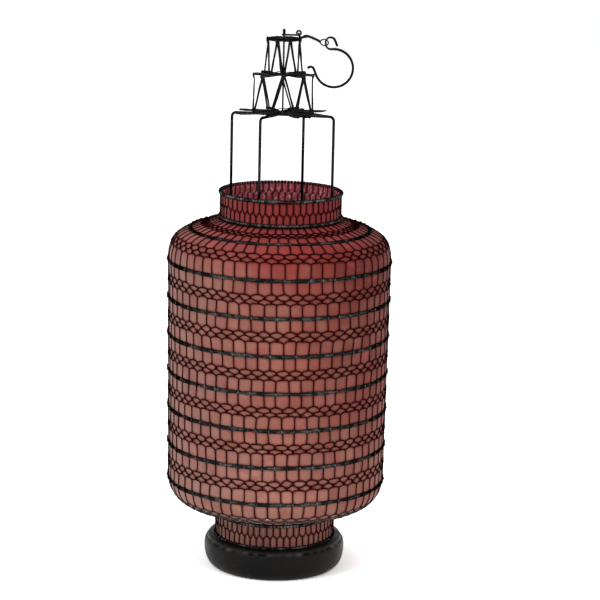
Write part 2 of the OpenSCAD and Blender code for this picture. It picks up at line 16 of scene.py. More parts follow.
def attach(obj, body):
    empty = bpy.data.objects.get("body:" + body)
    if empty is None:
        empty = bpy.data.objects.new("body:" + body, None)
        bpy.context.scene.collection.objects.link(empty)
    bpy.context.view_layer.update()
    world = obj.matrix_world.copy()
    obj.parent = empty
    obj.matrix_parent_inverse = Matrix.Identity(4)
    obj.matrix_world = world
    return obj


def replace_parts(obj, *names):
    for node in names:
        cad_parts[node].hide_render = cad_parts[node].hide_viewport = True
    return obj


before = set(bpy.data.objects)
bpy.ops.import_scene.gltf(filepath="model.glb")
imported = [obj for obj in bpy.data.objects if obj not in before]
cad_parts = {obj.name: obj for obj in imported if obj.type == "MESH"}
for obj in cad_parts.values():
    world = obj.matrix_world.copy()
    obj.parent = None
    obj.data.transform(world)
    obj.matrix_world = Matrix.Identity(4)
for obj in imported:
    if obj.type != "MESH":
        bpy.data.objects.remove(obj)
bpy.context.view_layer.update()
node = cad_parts
scene = bpy.context.scene


def shown(name, data):
    made = bpy.data.objects.new(name, data)
    scene.collection.objects.link(made)
    return made


# %% [markdown]
# The camera stands where the photographer stood. Its place was fitted to the lantern's hoops, which are circles of
# known height: three metres in front, a metre above the table and a little to the right, looking down by twelve
# degrees. A long lens keeps the lines of the body nearly upright.

# %% Camera
camera_data = bpy.data.cameras.new("camera")
camera_data.sensor_width = 36
camera_data.lens = 145.2
camera_data.clip_end = 50
camera = shown("camera", camera_data)
look_down, roll = radians(12.0), radians(1.25)
camera.matrix_world = (Matrix.Translation((0.0272, -3.043, 0.9987)) @ Matrix.Rotation(pi / 2 - look_down, 4, "X")
                       @ Matrix.Rotation(roll, 4, "Z"))
scene.camera = camera
print("camera at", [round(v, 3) for v in camera.location])

# %% [markdown]
# Every finish is a node tree that reads Object coordinates or an attribute of the piece, so it stays with the piece
# when that moves. A few helpers make the nodes and link them, which keeps the trees readable.

# %% Node helpers
class Nodes:
    """A node tree with short ways to make and link nodes. All but add, feed and bump return the new node's output."""

    def __init__(self, tree):
        self.tree = tree

    def feed(self, made, inputs):
        """Give a node its inputs, each by name or number, as a value or as another node's output."""
        for key, value in inputs.items():
            socket = made.inputs[key]
            if isinstance(value, bpy.types.NodeSocket):
                self.tree.links.new(value, socket)
            else:
                socket.default_value = (*value, 1) if socket.type == "RGBA" else value

    def add(self, kind, inputs=None, **settings):
        """A new node; a kind without a family is a shader node."""
        made = self.tree.nodes.new(kind if "Node" in kind else "ShaderNode" + kind)
        for key, value in settings.items():
            setattr(made, key, value)
        self.feed(made, inputs or {})
        return made

    def calc(self, operation, *values):
        return self.add("Math", dict(enumerate(values)), operation=operation).outputs[0]

    def vector_calc(self, operation, *values):
        made = self.add("VectorMath", dict(enumerate(values)), operation=operation)
        return made.outputs["Value" if operation == "DOT_PRODUCT" else "Vector"]

    def scaled(self, vector, factor):
        return self.add("VectorMath", {0: vector, "Scale": factor}, operation="SCALE").outputs[0]

    def remap(self, source, low, high, to_low=0, to_high=1):
        inputs = {"Value": source, "From Min": low, "From Max": high, "To Min": to_low, "To Max": to_high}
        return self.add("MapRange", inputs).outputs[0]

    def ramp(self, source, stops):
        made = self.add("ValToRGB", {"Fac": source})
        while len(made.color_ramp.elements) < len(stops):
            made.color_ramp.elements.new(0.5)
        for element, (place, colour) in zip(made.color_ramp.elements, stops):
            element.position = place
            element.color = (*colour, 1) if hasattr(colour, "__len__") else (colour, colour, colour, 1)
        return made.outputs["Color"]

    def mix(self, amount, first, second, blend="MIX"):
        inputs = {0: amount, 6: first, 7: second}      # the inputs between these mix numbers and vectors
        return self.add("Mix", inputs, data_type="RGBA", blend_type=blend).outputs[2]

    def both(self, first, second):
        return self.mix(1.0, first, second, "MULTIPLY")

    def noise(self, scale, detail, stretch=(1, 1, 1), rough=0.5):
        place = self.add("TexCoord").outputs["Object"]
        place = self.add("Mapping", {"Vector": place, "Scale": stretch}).outputs["Vector"]
        inputs = {"Vector": place, "Scale": scale, "Detail": detail, "Roughness": rough}
        return self.add("TexNoise", inputs).outputs["Fac"]

    def attribute(self, name):
        return self.add("Attribute", attribute_name=name).outputs["Fac"]

    def bump(self, shader, height, strength, distance):
        made = self.add("Bump", {"Strength": strength, "Distance": distance, "Height": height})
        self.feed(shader, {"Normal": made.outputs["Normal"]})


def new_material(name):
    material = bpy.data.materials.new(name)
    material.use_nodes = True
    tree = material.node_tree
    return material, Nodes(tree), tree.nodes["Principled BSDF"]


# %% [markdown]
# The iron wire is blackened and a little rusty. It is dark and fairly smooth, so that it catches thin grey lights from
# the studio, and it has small brown patches. The hoop, core and tie wires also carry a painted highlight along their
# outer side. The net's wire is the same iron but soaked in the red varnish of the silk.

# %% Iron finishes
def iron_finish(name, dark, worn, rough, edge, painted_highlight=None, spread=0.85):
    """Metal whose reflection stays dim at grazing angles too, as a blackened and varnished skin does."""
    material, t, shader = new_material(name)
    colour = t.ramp(t.noise(160, 6), [(0.35, dark), (0.62, dark), (0.78, worn)])
    if painted_highlight is not None:
        # a painted highlight along the side of the wire that faces out from the axis, broken into patches
        place = t.add("TexCoord").outputs
        out = t.vector_calc("NORMALIZE", t.vector_calc("MULTIPLY", place["Object"], (1, 1, 0)))
        top = t.ramp(t.vector_calc("DOT_PRODUCT", out, place["Normal"]), [(spread, 0), (0.98, 1)])
        highlight_patches = t.ramp(t.noise(95, 4, rough=0.65), [(0.45, 0), (0.6, 1)])
        colour = t.mix(t.both(top, highlight_patches), colour, painted_highlight)
    roughness = t.ramp(t.noise(420, 3), [(0.3, rough - 0.08), (0.7, rough + 0.14)])
    t.feed(shader, {"Base Color": colour, "Metallic": 1, "Specular Tint": (edge, edge, edge),
                        "Roughness": roughness})
    t.bump(shader, t.noise(900, 4), 0.35, 0.0002)
    return material


iron = iron_finish("blackened iron", (0.009, 0.009, 0.010), (0.035, 0.030, 0.026), 0.3, 0.06)
# the hoop, core and tie wires carry a painted highlight along their outer side
hoop_iron = iron_finish("hoop wire with painted highlight", (0.008, 0.008, 0.0085), (0.05, 0.048, 0.045), 0.27, 0.05,
                        painted_highlight=(0.055, 0.055, 0.053))
core_iron = iron_finish("core wire with painted highlight", (0.013, 0.013, 0.013), (0.05, 0.049, 0.047), 0.3, 0.07,
                        painted_highlight=(0.08, 0.078, 0.075), spread=0.4)
tie_iron = iron_finish("tie wire", (0.012, 0.012, 0.012), (0.05, 0.049, 0.047), 0.3, 0.07,
                       painted_highlight=(0.15, 0.147, 0.142), spread=0.5)
net_iron = iron_finish("varnished net wire", (0.022, 0.0016, 0.0012), (0.04, 0.005, 0.004), 0.45, 0.014)
# a brighter copy of the wire for the underside rows: a painted reflection of the pale floor
underside_reflection_iron = iron_finish("underside wire with painted reflection", (0.05, 0.045, 0.043), (0.7, 0.68, 0.64), 0.3, 0.3)
leaf_iron = iron_finish("leaf wire", (0.03, 0.03, 0.031), (0.16, 0.155, 0.15), 0.36, 0.12)
tin = iron_finish("old tin", (0.3, 0.29, 0.27), (0.5, 0.46, 0.4), 0.38, 0.6)
print("iron finishes:", [m.name for m in bpy.data.materials if m.use_nodes])

# %% [markdown]
# The shade's outline is that of the solids: a straight neck, a sloping shoulder with a rounding, a long wall that
# narrows downwards, the rounding of the underside with its slope, and the straight foot. Each part is a row of points
# with their outward directions, so wires and cloth can be laid at any distance along it.

# %% Outline of the shade
MM = 0.001
neck_r, wall_top_r, wall_low_r = 76.6 * MM, 142 * MM, 138.8 * MM
shade_z, foot_top_z, neck_z, rim_z = 40.3 * MM, 73.9 * MM, 458.9 * MM, 493.9 * MM
shoulder_slope, under_slope = radians(20.6), radians(18)
shoulder_r, under_r = 42 * MM, 34 * MM
shoulder_corner_z = neck_z - (wall_top_r - neck_r) * tan(shoulder_slope)
under_corner_z = foot_top_z + (wall_low_r - neck_r) * tan(under_slope)
wall_lean = atan((wall_top_r - wall_low_r) / (shoulder_corner_z - under_corner_z))


def rounding(r, z, radius, slope, up):
    """Where the slope meets its arc, and the arc's centre; up is 1 at the shoulder and -1 at the underside."""
    tangent = radius * tan((pi / 2 - slope + up * wall_lean) / 2)
    r, z = r - tangent * cos(slope), z + up * tangent * sin(slope)
    return (r, z), (r - radius * sin(slope), z - up * radius * cos(slope))


shoulder_arc, shoulder_centre = rounding(wall_top_r, shoulder_corner_z, shoulder_r, shoulder_slope, 1)
under_arc, under_centre = rounding(wall_low_r, under_corner_z, under_r, under_slope, -1)


def straight(start, end, steps):
    """Points of a straight part of the outline, each (radius, height, outward radius, outward height)."""
    dr, dz = end[0] - start[0], end[1] - start[1]
    size = hypot(dr, dz)
    return [(start[0] + dr * t, start[1] + dz * t, -dz / size, dr / size) for t in np.linspace(0, 1, steps)]


def rounded(centre, radius, first, last, steps):
    return [(centre[0] + radius * cos(a), centre[1] + radius * sin(a), cos(a), sin(a))
            for a in np.linspace(first, last, steps)]


class Part:
    """One part of the outline, from its top edge downwards."""

    def __init__(self, points):
        self.points = np.array(points)
        steps = np.hypot(np.diff(self.points[:, 0]), np.diff(self.points[:, 1]))
        self.along = np.concatenate([[0], np.cumsum(steps)])
        self.length = self.along[-1]
        self.lean = 0.0      # how much lower the rows lie at the back than at the sides

    def at(self, s):
        return [np.interp(s, self.along, self.points[:, k]) for k in range(4)]


arc_steps, fuller = 40, 2.2 * MM      # the silk stands a little fuller at the shoulder than the solids' arc
neck = Part(straight((neck_r, rim_z), (neck_r, neck_z), 8))
shoulder_arc_points = []
arc = rounded(shoulder_centre, shoulder_r, pi / 2 - shoulder_slope, -wall_lean, arc_steps)
for k, (r, z, nr, nz) in enumerate(arc):
    full = fuller * sin(pi * k / (arc_steps - 1)) ** 2
    shoulder_arc_points.append((r + full * nr, z + full * nz, nr, nz))
shoulder = Part(straight((neck_r, neck_z), shoulder_arc, 12)[:-1] + shoulder_arc_points)
wall_top_z = shoulder.points[-1][1]
wall_low_z = under_centre[1] - under_r * sin(wall_lean)
wall = Part(straight((shoulder.points[-1][0], wall_top_z),
                     (under_centre[0] + under_r * cos(wall_lean), wall_low_z), 40))
under = Part(rounded(under_centre, under_r, -wall_lean, under_slope - pi / 2, arc_steps)[:-1]
             + straight(under_arc, (neck_r, foot_top_z), 12))
foot = Part(straight((neck_r, foot_top_z), (neck_r, shade_z), 8))
shoulder_hoop_s = hypot(shoulder_arc[0] - neck_r, shoulder_arc[1] - neck_z)
print("outline lengths:", [round(p.length * 1000, 1) for p in (neck, shoulder, wall, under, foot)], "mm")

# %% [markdown]
# A wire is a path with thickness. A curve with a bevel would do for one, but Geometry Nodes do it for any number of
# paths at once and can repeat them round an axis. So one tree makes every wire here: it sweeps an oval section along
# the edges of a plain mesh with a twist, repeats the result in a ring, nudges it as hand work is nudged, and sets the
# material.

# %% Wire tree
def wire_tree():
    tree = bpy.data.node_groups.new("wire along a path", "GeometryNodeTree")
    tree.interface.new_socket("Geometry", in_out="INPUT", socket_type="NodeSocketGeometry")
    for name, kind, value in (("Radius", "Float", 0.001), ("Flatness", "Float", 1.0), ("Sides", "Int", 8),
                              ("Turns Per Metre", "Float", 0.0), ("Copies", "Int", 1), ("Wander", "Float", 0.0),
                              ("Seed", "Float", 1.0), ("Material", "Material", None)):
        socket = tree.interface.new_socket(name, in_out="INPUT", socket_type="NodeSocket" + kind)
        if value is not None:
            socket.default_value = value
    tree.interface.new_socket("Geometry", in_out="OUTPUT", socket_type="NodeSocketGeometry")
    t = Nodes(tree)
    given = t.add("NodeGroupInput").outputs
    # sweep a turning oval along the paths
    curves = t.add("GeometryNodeMeshToCurve", {"Mesh": given["Geometry"]})
    along = t.add("GeometryNodeSplineParameter").outputs["Length"]
    angle = t.calc("MULTIPLY", t.calc("MULTIPLY", along, given["Turns Per Metre"]), tau)
    tilt = t.add("GeometryNodeSetCurveTilt", {"Curve": curves.outputs["Curve"], "Tilt": angle})
    section = t.add("GeometryNodeCurvePrimitiveCircle", {"Resolution": given["Sides"], "Radius": given["Radius"]})
    shape = t.add("CombineXYZ", {0: given["Flatness"], 1: 1, 2: 1})
    oval = t.add("GeometryNodeTransform", {"Geometry": section.outputs["Curve"], "Scale": shape.outputs[0]})
    sweep = t.add("GeometryNodeCurveToMesh", {"Curve": tilt.outputs["Curve"], "Fill Caps": True,
                                                  "Profile Curve": oval.outputs["Geometry"]})
    # repeat the wires round the axis
    ring = t.add("GeometryNodeMeshLine", {"Count": given["Copies"], "Offset": (0, 0, 0)})
    share = t.calc("DIVIDE", t.add("GeometryNodeInputIndex").outputs[0], given["Copies"])
    about = t.add("CombineXYZ", {2: t.calc("MULTIPLY", share, tau)})
    repeat = t.add("GeometryNodeInstanceOnPoints", {"Points": ring.outputs["Mesh"], "Rotation": about.outputs[0],
                                                        "Instance": sweep.outputs["Mesh"]})
    real = t.add("GeometryNodeRealizeInstances", {0: repeat.outputs[0]})
    # nudge every point by a smooth random field, and give the iron
    place = t.add("GeometryNodeInputPosition").outputs[0]
    drift = t.add("TexNoise", {"Vector": place, "W": given["Seed"], "Scale": 55, "Detail": 1},
                noise_dimensions="4D")
    level = t.vector_calc("SUBTRACT", drift.outputs["Color"], (0.5, 0.5, 0.5))
    nudge = t.add("GeometryNodeSetPosition", {"Geometry": real.outputs[0],
                                                  "Offset": t.scaled(level, given["Wander"])})
    finish = t.add("GeometryNodeSetMaterial", {"Geometry": nudge.outputs[0], "Material": given["Material"]})
    t.add("NodeGroupOutput", {"Geometry": finish.outputs[0]})
    return tree


wires = wire_tree()
wire_socket = {item.name: item.identifier for item in wires.interface.items_tree if item.in_out == "INPUT"}
print("wire tree inputs:", list(wire_socket))

# %% [markdown]
# This helper runs the tree on any paths and keeps the result as a plain mesh that rides on a body. Smooth shading
# makes the few sides of a thin wire look round.

# %% Wires from paths
def piece_from(name, mesh, body, material):
    made = shown(name, mesh)
    mesh.materials.clear()
    mesh.materials.append(material)
    mesh.polygons.foreach_set("use_smooth", [True] * len(mesh.polygons))
    mesh.update()
    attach(made, body)
    print(name, len(mesh.polygons), "faces")
    return made


def wire_piece(name, paths, radius, body="stand", material=iron, sides=8, flat=1.0, turns=0.0, copies=1, wander=0.0,
               seed=1.0):
    """One piece of wire of this radius in mm along each path, which is a list of points and whether it closes."""
    points, edges = [], []
    for path, closed in paths:
        first = len(points)
        points += [tuple(p) for p in path]
        edges += [(first + k, first + k + 1) for k in range(len(path) - 1)]
        if closed:
            edges.append((len(points) - 1, first))
    rails = bpy.data.meshes.new(name + " paths")
    rails.from_pydata(points, edges, [])
    holder = shown(name + " paths", rails)
    modifier = holder.modifiers.new("wire", "NODES")
    modifier.node_group = wires
    for key, value in (("Radius", radius * MM), ("Flatness", flat), ("Sides", sides), ("Turns Per Metre", turns),
                       ("Copies", copies), ("Wander", wander), ("Seed", seed), ("Material", material)):
        modifier[wire_socket[key]] = value
    bpy.context.view_layer.update()
    graph = bpy.context.evaluated_depsgraph_get()
    mesh = bpy.data.meshes.new_from_object(holder.evaluated_get(graph), depsgraph=graph)
    mesh.name = name
    bpy.data.objects.remove(holder)
    return piece_from(name, mesh, body, material)


def circle(steps):
    return np.linspace(0, tau, steps + 1)[:-1]


def smooth_path(points, closed=False, steps=6):
    """A Catmull-Rom curve through the points, and whether it closes."""
    pts = [Vector(p) for p in points]
    n = len(pts)
    out = []
    for k in range(n if closed else n - 1):
        a, b, c, d = (pts[(k + j) % n] if closed else pts[min(max(k + j, 0), n - 1)] for j in (-1, 0, 1, 2))
        for t in (i / steps for i in range(steps)):
            out.append(0.5 * (2 * b + (c - a) * t + (2 * a - 5 * b + 4 * c - d) * t ** 2
                              + (3 * b - a - 3 * c + d) * t ** 3))
    return out if closed else out + [pts[-1]], closed


def coil(turns, steps=8):
    """For each point of a winding, its share of the length and its angle."""
    return [(k / (steps * turns), tau * k / steps) for k in range(int(steps * turns) + 1)]


def grid(rows, columns):
    """For each face of a grid that closes round the axis, its first corner and the one beside it."""
    i, j = np.meshgrid(np.arange(rows - 1), np.arange(columns), indexing="ij")
    return i, j, i * columns + j, i * columns + (j + 1) % columns


# %% [markdown]
# The net is twisted by hand, so no two cells are alike. A smooth random field over the shade shifts every joint a
# little, both ways. It is a small table of seeded numbers that closes round the shade, and the silk's stains are
# shifted by the same field, so that they stay under their wires.

# %% Hand-made unevenness
COLUMNS = 56
column = tau / COLUMNS


class Drift:
    def __init__(self, seed, fine, slow, calm=0):
        rng = np.random.default_rng(seed)
        self.table = fine * rng.normal(0, 1, (2 * COLUMNS, 80))
        coarse = slow * rng.normal(0, 1, (14, 12))
        i, j = np.meshgrid(np.arange(2 * COLUMNS) / 8, np.arange(80) / 8, indexing="ij")
        self.table += self.blend(coarse, i, j)
        for _ in range(calm):
            self.table[:, 1:-1] = (self.table[:, :-2] + 2 * self.table[:, 1:-1] + self.table[:, 2:]) / 4

    @staticmethod
    def blend(table, u, v):
        i, j = np.floor(u).astype(int), np.floor(v).astype(int)
        fu, fv = u - i, v - j
        fu, fv = fu * fu * (3 - 2 * fu), fv * fv * (3 - 2 * fv)
        rows, cols = table.shape
        i, k, j, m = i % rows, (i + 1) % rows, j % cols, (j + 1) % cols
        return ((table[i, j] * (1 - fu) + table[k, j] * fu) * (1 - fv)
                + (table[i, m] * (1 - fu) + table[k, m] * fu) * fv)

    def __call__(self, s, across):
        return self.blend(self.table, np.asarray(across) * 2.0, np.asarray(s) / 0.0055 + 4)


drift_s, drift_a = Drift(5, 0.00052, 0.00055), Drift(6, 0.09, 0.07, calm=6)
print("largest shift along the silk:", round(float(abs(drift_s.table).max()) * 1000, 2), "mm")

# %% [markdown]
# In each band between two hoops, upright strands come down, part to both sides into three close wavy rows, or one at
# the neck and the foot, and come together again half a column further on. The last row makes a flat arch over each
# long cell below it. Every row is one closed path. Every upright is a path from joint to joint, and as it is two
# wires twisted together, its section is an oval that turns as it goes. Between close rows it is a tight twist.

# %% Paths of the net
net_out = 0.75 * MM      # from the silk to the middle of a wire
row_h = 2.4 * MM         # how far a row waves
held = 0.004             # the drift fades out over this distance from a hoop
upright_step = 0.0013


def on_shade(part, s, across, hoops_s):
    """Points on the net, shifted by the drift except at the two hoops, whose distances are given."""
    free = np.clip(np.minimum(s - hoops_s[0], hoops_s[1] - s) / held, 0, 1)
    s = np.clip(s + free * (drift_s(s, across) + part.lean * np.sin(across * column)), 0, part.length)
    turn = (across + drift_a(s, across)) * column
    r, z, nr, nz = part.at(s)
    r, z = r + net_out * nr, z + net_out * nz
    return np.stack([r * np.cos(turn), r * np.sin(turn), z], -1)


def row_line(across, k, middle, height, count):
    """How far along the silk row k lies. It comes down from the upright above it (t = 0) to the one below (t = 1)."""
    t = np.abs((across + 0.5) % 1.0 - 0.5) * 2
    if count > 1 and k == 0:
        drop = t ** 2.3
    elif count > 1 and k == count - 1:
        drop = t ** 3
    else:
        steep = np.clip((t - 0.25) / 0.5 if count == 1 else (t - 0.14) / 0.72, 0, 1)
        drop = (1 - np.cos(pi * steep)) / 2
    return middle + height * (drop - 0.5)


def band_paths(part, top, rows, bottom, height, shift):
    uprights, twists, waves = [], [], []
    start = top
    for k, middle in enumerate(rows + [None]):
        end = bottom if middle is None else middle - height / 2
        side = shift + 0.5 * k
        steps = max(3, int(round((end - start) / upright_step)) + 1)
        for c in range(COLUMNS):
            line = on_shade(part, np.linspace(start, end, steps), np.full(steps, side + c), (top, bottom))
            (twists if 0 < k < len(rows) else uprights).append((line, False))
        if middle is None:
            break
        around = np.arange(COLUMNS * 10) / 10
        s = row_line(around, k, middle, height, len(rows))
        waves.append((on_shade(part, s, around + side, (top, bottom)), True))
        start = middle + height / 2
    return uprights, twists, waves


def net_piece(name, part_bands, replaced, row_iron=net_iron):
    uprights, twists, waves = [], [], []
    for band in part_bands:
        for store, paths in zip((uprights, twists, waves), band_paths(*band)):
            store += paths
    strand = wire_piece(name + "_uprights", uprights, 0.74, "shade", net_iron, sides=6, flat=0.66, turns=120)
    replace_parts(strand, replaced[0])
    wave = wire_piece(name + "_rows", waves, 0.6, "shade", row_iron, sides=6)
    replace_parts(wave, replaced[1])
    if twists:
        wire_piece(name + "_twists", twists, 1.35, "shade", row_iron, sides=6, flat=0.8, turns=260)


pitch = wall.length / 6
wall_rows = [0.385, 0.5, 0.622]
neck.lean = -2.6 * MM
bands = {"neck": [(neck, 0.4 * MM, [neck.length * 0.47], neck.length, 3.3 * MM, 0.0)]}
bands["shoulder"] = [(shoulder, 2 * MM, [16.5 * MM, 20.6 * MM, 24.8 * MM], shoulder_hoop_s, row_h, 0.5),
                     (shoulder, shoulder_hoop_s, [shoulder_hoop_s + d * MM for d in (20, 26, 32)], shoulder.length,
                      row_h, 2.0)]
for k in range(6):
    bands.setdefault("wall_high" if k < 3 else "wall_low", []).append(
        (wall, pitch * k, [pitch * (k + f) for f in wall_rows], pitch * (k + 1), row_h, 3.5 + 1.5 * k))
bands["underside"] = [(under, 0.0, [22 * MM, 27.5 * MM, 33 * MM], under.length - 2 * MM, row_h, 12.5)]
bands["foot"] = [(foot, 0.4 * MM, [foot.length * 0.5], foot.length - 0.4 * MM, 3.4 * MM, 14.0)]

# %% [markdown]
# The net is made in six lengths, so that no piece grows too large. The rows of the underside get a brighter copy of
# the wire, a painted reflection of the pale floor below them.

# %% The net round the shade
net_piece("neck_net", bands["neck"], ["neck_uprights", "neck_zigzag"])
net_piece("shoulder_net", bands["shoulder"], ["shoulder_uprights", "shoulder_zigzags"])
net_piece("wall_net_high", bands["wall_high"], ["body_uprights", "body_zigzags"])
net_piece("wall_net_low", bands["wall_low"], ["body_uprights", "body_zigzags"])
# the underside rows take the brighter wire, a painted reflection of the floor
net_piece("underside_net", bands["underside"], ["underside_uprights", "underside_zigzag"], underside_reflection_iron)
net_piece("foot_net", bands["foot"], ["foot_uprights", "foot_zigzag"])

# %% [markdown]
# Each hoop is two or three wires laid side by side that slowly twist round each other. At every strand of the net a
# fine wire is wrapped round them, which gives the hoops their beaded look at the sides. One column's wraps are made,
# and the tree repeats them.

# %% Hoops and their wraps
HOOP_STEPS = 400


def off_outline(spot, out, up, turn):
    """Out and up by mm from a spot (radius, height, outward radius, outward height), turned round the axis."""
    r, z, nr, nz = spot
    rr, zz = r + (out * nr - up * nz) * MM, z + (out * nz + up * nr) * MM
    return Vector((rr * cos(turn), rr * sin(turn), zz))


def hoop_paths(spot, strands, spread, depth, twists, phase):
    """Wires of one hoop, which keep their places in a flat bundle and change them in short crossings."""
    paths = []
    for strand in range(strands):
        path = []
        for turn in circle(HOOP_STEPS):
            angle = tau * strand / strands + twists * turn + phase
            if strands > 2:
                angle += 0.45 * sin(strands * angle) / strands
            else:
                angle -= 0.4 * sin(2 * angle)
            path.append(off_outline(spot, depth * sin(angle), spread * cos(angle), turn))
        paths.append((path, True))
    return paths


def wrap_path(spot, across, width, height, length, turns):
    """Loops of fine wire round a hoop at one column, leaning along the hoop."""
    path = []
    for share, a in coil(turns, 9):
        turn = across * column + (share - 0.5) * length / spot[0]
        path.append(off_outline(spot, width * cos(a), height * sin(a), turn))
    return path


# name, part, distance along it, column shift, wraps a column, strands, half height, half depth of the wires' axes
hoops = [("rim_hoop", neck, 1.8 * MM, 0.0, 2, 3, 1.35, 0.6),
         ("neck_hoop", neck, neck.length - 2.2 * MM, 0.5, 2, 3, 1.4, 0.7),
         ("shoulder_hoop", shoulder, shoulder_hoop_s, 0.0, 1, 2, 1.5, 0.5)]
hoops += [(f"body_hoop_{k + 1}", wall, min(pitch * k, wall.length), 0.5 if k % 2 == 0 else 0.0, 1, 2, 1.7, 0.5)
          for k in range(7)]
hoops += [("foot_top_hoop", foot, 2.2 * MM, 0.5, 2, 3, 1.4, 0.7),
          ("foot_hoop", foot, foot.length - 1.6 * MM, 0.0, 1, 2, 1.0, 0.5)]
wraps, grooves = [], []
for k, (name, part, s, shift, often, strands, spread, depth) in enumerate(hoops):
    r, z, nr, nz = part.at(s)
    lift = (0.72 + 0.5 * depth) * MM
    spot = r + lift * nr, z + lift * nz, nr, nz
    made = wire_piece(name + "_wires", hoop_paths(spot, strands, spread, depth, 7 + k % 3, 0.9 * k),
                      0.95, "shade", hoop_iron, wander=0.7 * MM, seed=2.0 + k)
    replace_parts(made, name)
    grooves.append(([off_outline(spot, 0.2, 0, turn) for turn in circle(HOOP_STEPS)], True))
    wraps += [(wrap_path(spot, shift + j / often, depth + 1.15, spread + 0.85, 1.5 * MM * often,
                         1.6 * often), False) for j in range(often)]
wire_piece("hoop_wraps", wraps, 0.5, "shade", tie_iron, sides=5, copies=COLUMNS, wander=0.5 * MM)
wire_piece("hoop_core_wires", grooves, 0.85, "shade", core_iron, sides=6, wander=0.7 * MM)

# %% [markdown]
# The silk is cut in strips, pasted inside the net and varnished. It is five stretched sheets here, each a fine grid
# whose columns follow the net. The paste draws it in a little behind every wire and lets it stand out in the middle
# of each cell, and the colour is darker beside every wire. Both come from one number, the distance from the nearest
# wire, which is worked out for every point and kept as an attribute.

# %% Marks of the net on the silk
CLOTH_STEPS = 6      # a column
CLOTH_COLUMNS = CLOTH_STEPS * COLUMNS
cell_table = np.random.default_rng(9).normal(0, 1, (COLUMNS, 60))


def cloth_marks(part, s, across, part_bands):
    """For arrays of places: the distance along the silk to the nearest wire, and a number for each cell."""
    s, across = s - drift_s(s, across) - part.lean * np.sin(across * column), across - drift_a(s, across)
    near, tint = np.full(s.shape, 1.0), np.zeros(s.shape)
    cell = column * part.at(s)[0]
    for n, (_, top, rows, bottom, height, shift) in enumerate(part_bands):
        inside = (s >= top) & (s <= bottom)
        section = np.zeros(s.shape, int)
        for k, middle in enumerate(rows):
            wave = row_line(across - shift - 0.5 * k, k, middle, height, len(rows))
            section += s > wave
            near = np.where(inside, np.minimum(near, np.abs(s - wave) * 0.9), near)
        place = across - shift - 0.5 * section
        near = np.where(inside, np.minimum(near, np.abs((place + 0.5) % 1.0 - 0.5) * cell), near)
        tint = np.where(inside, cell_table[np.floor(place).astype(int) % COLUMNS, (5 * n + section) % 60], tint)
        for edge in (top, bottom):
            near = np.minimum(near, np.maximum(np.abs(s - edge) - 0.9 * MM, 0))
    return near, tint


def silk_sheet(name, part, part_bands, rows, replaced):
    ss, aa = np.meshgrid(np.linspace(0, part.length, rows), np.arange(CLOTH_COLUMNS) / CLOTH_STEPS, indexing="ij")
    near, tint = cloth_marks(part, ss, aa, part_bands)
    puff = np.clip(near / (5 * MM), 0, 1) ** 0.7
    slack = np.clip(cell_table[np.floor(aa * 0.5).astype(int) % COLUMNS, 3], -1, 1)
    edge_fade = np.clip(np.minimum(ss, part.length - ss) / (4 * MM), 0, 1)
    out = (-0.3 + (0.62 + 0.12 * slack) * puff) * MM * edge_fade
    r, z, nr, nz = part.at(ss)
    r, z, turn = r + out * nr, z + out * nz, aa * column
    points = np.stack([r * np.cos(turn), r * np.sin(turn), z], -1).reshape(-1, 3)
    i, j, first, beside = grid(rows, CLOTH_COLUMNS)
    faces = np.stack([first, first + CLOTH_COLUMNS, beside + CLOTH_COLUMNS, beside], -1).reshape(-1, 4)
    mesh = bpy.data.meshes.new(name)
    mesh.from_pydata(points.tolist(), [], faces.tolist())
    for label, values in (("wire_distance", near), ("cell_tint", tint)):
        mesh.attributes.new(label, "FLOAT", "POINT").data.foreach_set("value", values.ravel().astype(np.float32))
    # the map unrolls the sheet in metres, and its last column runs on past the seam
    widest = float(part.points[:, 0].max())
    along, over = part.length / (rows - 1), tau * widest / CLOTH_COLUMNS
    corners = np.stack([np.stack([j + dj, i + di], -1) for dj, di in ((0, 0), (0, 1), (1, 1), (1, 0))], 2)
    mesh.uv_layers.new(name="UVMap").data.foreach_set("uv", (corners.reshape(-1, 2) * (over, along)).ravel())
    made = piece_from(name, mesh, "shade", silk)
    shell = made.modifiers.new("cloth thickness", "SOLIDIFY")
    shell.thickness = 0.45 * MM
    shell.offset = -1
    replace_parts(made, *replaced)
    print(name, "flat", round(tau * widest, 3), "by", round(part.length, 3), "m")
